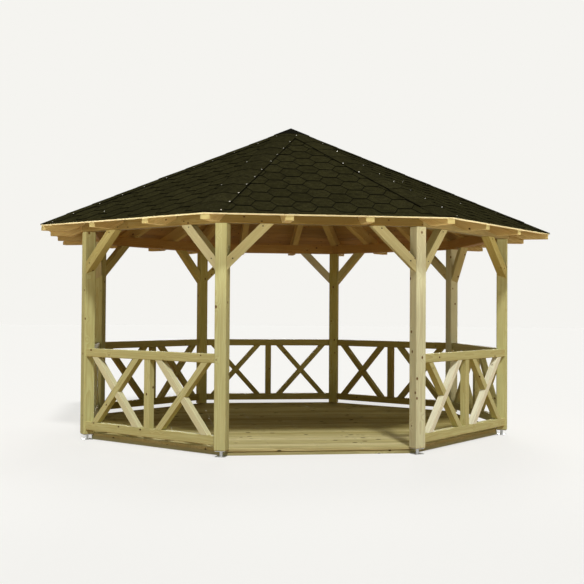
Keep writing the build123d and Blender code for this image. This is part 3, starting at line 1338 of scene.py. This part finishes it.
@dataclass
class Deck:
    """Boards laid along the front, cut to the eight walls and round the posts."""

    edge_gap: float = 0.006
    bottom: float = 0.040
    thickness: float = 0.030
    board: float = 0.145
    joint: float = 0.005
    stock: float = 5.2
    arris: float = 0.003
    screw_radius: float = 0.004
    screw_height: float = 0.0012
    joists: range = range(-4, 5)
    bearer_spacing: float = 0.480
    bearer_width: float = 0.060
    bearer_arris: float = 0.0015
    bearer_setback: float = 0.012
    bearer_gap: float = 0.0005
    rim_stock: float = 2.2
    fit: float = 0.0003

    def __post_init__(self) -> None:
        """Starts the pieces of the boards and their screws."""
        self.boards = Piece("deck_boards", 700)
        self.screws = Piece("deck_screws", 720)

    @property
    def apothem(self) -> float:
        """Plan distance of the deck's edge."""
        return LAYOUT.wall_inner - self.edge_gap

    def tone(self, middle: float) -> float:
        """Picks a board's tone: those behind the line of the roof's shadow darken, as painted
        shade.

        Args:
            middle: the board's middle line.

        Returns:
            0 for dark to 1 for pale.
        """
        # Painted shade: boards darken from 1.7 m before the middle to 0.1 m before it
        shaded = min(max((middle + 1.7) / 1.6, 0.0), 1.0)
        return 0.8 - 0.7 * shaded + self.boards.about(0.17)

    def build(self) -> None:
        """Lays the boards, drives their screws and sets the bearers under them."""
        rows = round(self.apothem * 2 / (self.board + self.joint))
        cover = (self.apothem * 2 + self.joint) / rows
        post_line = LAYOUT.post_face_radius - LAYOUT.post_side - self.fit
        planes = Bay.ring(self.apothem) + Corner.ring(post_line)
        for row in range(rows):
            middle = -self.apothem + cover * row + (cover - self.joint) / 2
            board = bar(self.stock, cover - self.joint, self.thickness, self.arris)
            place = Matrix.Translation((0.0, middle, self.bottom + self.thickness / 2))
            cut(board, planes, place.inverted())
            self.boards.add(board, place, 0.08, self.tone(middle))
            for joist in self.joists:
                self.fix(joist * self.bearer_spacing, middle, cover)
        self.boards.finish(Finish.DECKING, "deck_timber", "deck")
        self.screws.finish(Finish.SCREWS, "galvanised_steel")
        self.bearers()

    def fix(self, along: float, middle: float, cover: float) -> None:
        """Drives a pair of screws through a board into a joist.

        Args:
            along: the joist's place.
            middle: the board's middle line.
            cover: the board's width with its joint.
        """
        top = self.bottom + self.thickness + 0.0001
        for side in HANDS:
            across = middle + side * cover * 0.3 + self.screws.about(0.004)
            skewed = (abs(along) + abs(across)) / math.sqrt(2) + 0.03
            if max(abs(along) + 0.03, abs(across), skewed) > self.apothem - 0.02:
                continue
            head = round_head(self.screw_radius, self.screw_height, 8)
            spot = (along + self.screws.about(0.006), across, top)
            self.screws.add(head, Matrix.Translation(spot), 0.02)

    def bearers(self) -> None:
        """Sets the rim and the joists on the ground."""
        piece = Piece("sawn_bearers", 740)
        turn = Matrix.Rotation(QUARTER_TURN, 4, "Z")
        width, height = self.bearer_width, self.bottom
        rim = self.apothem - self.bearer_setback
        for bay in Bay:
            side = bar(self.rim_stock, width, height, self.bearer_arris)
            place = Matrix.Translation((rim - width / 2, 0.0, height / 2)) @ turn
            cut(side, LAYOUT.sides(self.bearer_gap), place.inverted())
            piece.add(side, bay.turn @ place, 0.03)
        for joist in self.joists:
            timber = bar(self.stock, width, height, self.bearer_arris)
            place = Matrix.Translation((joist * self.bearer_spacing, 0.0, height / 2)) @ turn
            cut(timber, Bay.ring(rim - width - self.bearer_gap), place.inverted())
            piece.add(timber, place, 0.03)
        piece.finish(Finish.BEARERS, "bearer_timber", "deck_bearers")


@dataclass
class Screws:
    """Structural screws, dark in their countersinks, through the plates and the braces.

    A place is metres to the right of a bay's middle, seen from outside, and a height. Those
    of the three front plates follow the photograph.
    """

    radius: float = 0.0075
    height: float = 0.0006
    brace_face: float = 0.0475
    in_braces: ClassVar[tuple[tuple[float, float], ...]] = (
        (-0.585, 2.244), (0.585, 2.244), (-0.888, 1.925), (0.888, 1.925),
    )
    in_plates: ClassVar[dict[Bay, tuple[tuple[float, float], ...]]] = {
        Bay.FRONT: ((-0.611, 2.289),),
        Bay.FRONT_LEFT: ((0.535, 2.305), (0.352, 2.33), (-0.283, 2.286), (-0.442, 2.293)),
        Bay.FRONT_RIGHT: ((-0.517, 2.365),),
    }
    in_other_plates: ClassVar[tuple[tuple[float, float], ...]] = ((-0.6, 2.29), (0.6, 2.29))

    def build(self) -> None:
        """Drives all screws from outside."""
        screws = Piece("structural_screws", 800)
        flat = Matrix.Rotation(QUARTER_TURN, 4, "Y")
        for bay in Bay:
            in_plate = self.in_plates.get(bay, self.in_other_plates)
            spots = [(LAYOUT.wall_middle + self.brace_face, *spot) for spot in self.in_braces]
            for face, along, level in spots + [(LAYOUT.wall_outer, *spot) for spot in in_plate]:
                along += screws.about(0.008)
                seat = Matrix.Translation((face + self.height / 2 + 0.0001, along, level))
                screws.add(round_head(self.radius, self.height), bay.turn @ seat @ flat, 0.02)
        screws.finish(Finish.COUNTERSINKS, "galvanised_steel")


@dataclass
class Gazebo:
    """The whole gazebo, from the ground up.

    The posts' tones follow the photograph, 0 for the darkest and 1 for the palest: the back posts'
    low tones are painted shade and the right back post's high tone is painted sunlight.
    """

    post_tones_and_painted_shade: ClassVar[dict[Corner, float]] = {
        Corner.FRONT_LEFT: 0.55, Corner.FRONT_RIGHT: 0.85, Corner.LEFT_FRONT: 0.5,
        Corner.RIGHT_FRONT: 0.5, Corner.RIGHT_BACK: 0.8, Corner.LEFT_BACK: 0.4,
        Corner.BACK_LEFT: 0.08, Corner.BACK_RIGHT: 0.1,
    }
    # Low tones of the front plates, painted shade under the eave
    painted_plate_shade: ClassVar[dict[Bay, float]] = {
        Bay.FRONT: 0.1, Bay.FRONT_LEFT: 0.2, Bay.FRONT_RIGHT: 0.4,
    }

    def timbers(self) -> None:
        """Dresses the posts, the plates, the knee braces and the rafters."""
        for number, corner in enumerate(Corner):
            end = corner.node_end
            Joinery(
                "planed_post_" + end, "post_" + end, Finish.POSTS, "post_timber",
                100 + number, self.post_tones_and_painted_shade[corner],
            ).build()
        for number, bay in enumerate(Bay):
            end = bay.node_end
            finish = Finish.PLATES if bay in self.painted_plate_shade else Finish.INNER_PLATES
            Joinery(
                "mitred_plate_" + end, "wall_plate_" + end, finish, "beam_timber",
                131 + number, self.painted_plate_shade.get(bay, 0.5),
            ).build()
        for name, node, finish, slot, seed in (
            ("knee_brace_timbers", "knee_braces", Finish.BRACES, "brace_timber", 140),
            ("hip_rafter_timbers", "hip_rafters", Finish.RAFTERS, "rafter_timber", 150),
            ("jack_rafter_timbers", "jack_rafters", Finish.RAFTERS, "rafter_timber", 160),
            ("king_block_timber", "king_block", Finish.RAFTERS, "rafter_timber", 170),
        ):
            Joinery(name, node, finish, slot, seed).build()

    def build(self) -> None:
        """Builds and dresses every piece; the front bay is the way in."""
        self.timbers()
        for number, bay in enumerate(Bay):
            if bay is not Bay.FRONT:
                Railing(bay, 300 + number).build()
        for number, bay in enumerate(Bay):
            RoofBoards(bay, number).build()
        Shingles().build()
        HipCaps().build()
        Joinery(
            "apex_cap_felt", "apex_cap", Finish.APEX, "bitumen_shingles", 680, arris=0.001,
            cut_ends=False,
        ).build()
        Deck().build()
        Screws().build()
        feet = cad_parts["post_feet"]
        feet.data.materials.clear()
        feet.data.materials.append(Finish.FEET.made)
        LOG.info("post_feet: CAD solids, %s", Finish.FEET.value.name)


@dataclass(frozen=True)
class Softbox:
    """A wide lamp: its place, aim and size in metres, power in watts and spread in degrees."""

    name: str
    spot: tuple[float, float, float]
    aim: tuple[float, float, float]
    size: tuple[float, float]
    power: float
    spread: float = 100.0

    def hang(self) -> None:
        """Hangs the lamp out of the camera's sight."""
        data = bpy.data.lights.new(self.name, "AREA")
        data.shape = "RECTANGLE"
        data.size, data.size_y = self.size
        data.energy = self.power
        data.spread = math.radians(self.spread)
        lamp = link(self.name, data)
        lamp.location = self.spot
        away = Vector(self.spot) - Vector(self.aim)
        lamp.rotation_euler = away.to_track_quat("Z", "Y").to_euler()
        lamp.visible_camera = False


@dataclass(frozen=True)
class Sun:
    """A far lamp, in degrees: its turn from the front to the right, its height and its width."""

    name: str
    turn: float
    height: float
    width: float
    strength: float

    def hang(self) -> None:
        """Hangs the lamp; a wide one has soft shadows."""
        data = bpy.data.lights.new(self.name, "SUN")
        data.energy = self.strength
        data.angle = math.radians(self.width)
        turn, height = math.radians(self.turn), math.radians(self.height)
        flat = math.cos(height)
        towards = Vector((flat * math.sin(turn), -flat * math.cos(turn), math.sin(height)))
        link(self.name, data).rotation_euler = towards.to_track_quat("Z", "Y").to_euler()


@dataclass
class Studio:
    """A pale floor, soft lamps from the front and the photograph's camera."""

    eye: tuple[float, float, float] = (-1.5594, -11.6910, 1.4231)
    yaw: float = 0.1348
    pitch: float = 0.0193
    roll: float = 0.0066
    lens: float = 59.04
    # The low one stands straight behind the object, so that it lights the back's outer faces
    # and hardly the deck
    suns: tuple[Sun, ...] = (
        Sun("key_lamp", 2.0, 49.0, 7.0, 2.35),
        Sun("rim_lamp", 165.0, 52.0, 25.0, 0.7),
        Sun("low_back_lamp", 172.4, 9.0, 25.0, 2.5),
    )
    # Low strips before the three front bays shine up under the eave, where the key lamp doesn't
    # reach, and the last lamp lights the right back post, which the photograph shows in the sun
    softboxes: tuple[Softbox, ...] = (
        Softbox("front_strip", (0.0, -4.4, 1.35), (0.0, -2.8, 2.6), (4.0, 0.2), 11.0, 75.0),
        Softbox("front_left_strip", (-3.1, -3.1, 1.35), (-2.0, -2.0, 2.6), (3.0, 0.2), 10.0, 75.0),
        Softbox("front_right_strip", (3.1, -3.1, 1.35), (2.0, -2.0, 2.6), (3.0, 0.2), 9.0, 75.0),
        Softbox("left_lamp", (-7.0, -6.0, 2.3), (-1.5, 0.0, 1.6), (2.5, 0.8), 36.0),
        Softbox("right_lamp", (5.5, -7.0, 2.3), (1.5, 0.0, 1.6), (2.5, 0.8), 26.0),
        Softbox("right_back_lamp", (6.5, -3.5, 1.7), (2.5, 1.0, 1.3), (0.8, 1.2), 3.2, 40.0),
    )
    sky_colour: str = "#f4f6fa"
    sky_strength: float = 0.15
    floor_pale: str = "#f6f5f1"
    floor_glow: float = 0.7
    floor_bounce: str = "#ae854e"
    floor_radius: float = 80.0
    backdrop: str = "#f5f4f0"

    def seen(self, tree: Tree) -> bpy.types.Node:
        """Tells the rays that see the background from those that light the object.

        Args:
            tree: the node tree to add to.

        Returns:
            The node that gives 1 for a camera, glossy or transmission ray.
        """
        path = add_node(tree, "LightPath", {}).outputs
        first = {0: path["Is Camera Ray"], 1: path["Is Glossy Ray"]}
        direct = add_node(tree, "Math", first, operation="MAXIMUM")
        both = {0: direct, 1: path["Is Transmission Ray"]}
        return add_node(tree, "Math", both, operation="MAXIMUM")

    def floor(self) -> None:
        """Lays the floor, which looks pale but throws back no more light than turf."""
        ground = bmesh.new()
        bmesh.ops.create_circle(ground, cap_ends=True, segments=64, radius=self.floor_radius)
        bmesh.ops.translate(ground, vec=(0.0, 0.0, -0.0005), verts=ground.verts)
        data = to_mesh(ground, "studio_floor")
        material = bpy.data.materials.new("matt_studio_floor")
        tree = empty_tree(material)
        seen = self.seen(tree)
        shades = {0: seen, 6: self.floor_bounce, 7: self.floor_pale}
        colour = add_node(tree, "Mix", shades, data_type="RGBA")
        lit = add_node(tree, "BsdfDiffuse", {"Color": colour})
        glow = add_node(tree, "Emission", {"Color": self.floor_pale, "Strength": 1.0})
        share = add_node(tree, "Math", {0: seen, 1: self.floor_glow}, operation="MULTIPLY")
        surface = add_node(tree, "MixShader", {0: share, 1: lit, 2: glow})
        add_node(tree, "OutputMaterial", {"Surface": surface})
        data.materials.append(material)
        plane = link("studio_floor", data)

    def sky(self) -> None:
        """Sets an even sky, which the camera sees as the pale backdrop."""
        world = bpy.data.worlds.new("studio_sky")
        tree = empty_tree(world)
        soft, pale = (
            add_node(tree, "Background", {"Color": colour, "Strength": strength})
            for colour, strength in ((self.sky_colour, self.sky_strength), (self.backdrop, 1.0))
        )
        both = add_node(tree, "MixShader", {0: self.seen(tree), 1: soft, 2: pale})
        add_node(tree, "OutputWorld", {"Surface": both})
        bpy.context.scene.world = world

    def camera(self) -> None:
        """Sets the camera where the photograph was taken from."""
        data = bpy.data.cameras.new("photo_camera")
        data.sensor_width = 36.0
        data.lens = self.lens
        data.clip_end = 500.0
        ahead = Vector((math.sin(self.yaw), math.cos(self.yaw), math.tan(self.pitch))).normalized()
        side = Vector((math.cos(self.yaw), -math.sin(self.yaw), 0.0))
        over = side.cross(ahead)
        right = side * math.cos(self.roll) + over * math.sin(self.roll)
        above = over * math.cos(self.roll) - side * math.sin(self.roll)
        camera = link("photo_camera", data)
        camera.matrix_world = axes_at(right, above, -ahead, self.eye)
        bpy.context.scene.camera = camera

    def build(self) -> None:
        """Sets up the studio."""
        self.floor()
        self.sky()
        for lamp in self.suns + self.softboxes:
            lamp.hang()
        self.camera()
        bpy.context.scene.view_settings.view_transform = "Standard"
        LOG.info("studio: floor, sky, lamps and camera")


def main() -> None:
    """Builds the gazebo and its studio in order."""
    logging.basicConfig(level=logging.INFO, format="%(message)s")
    Gazebo().build()
    Studio().build()


if __name__ == "__main__":
    main()
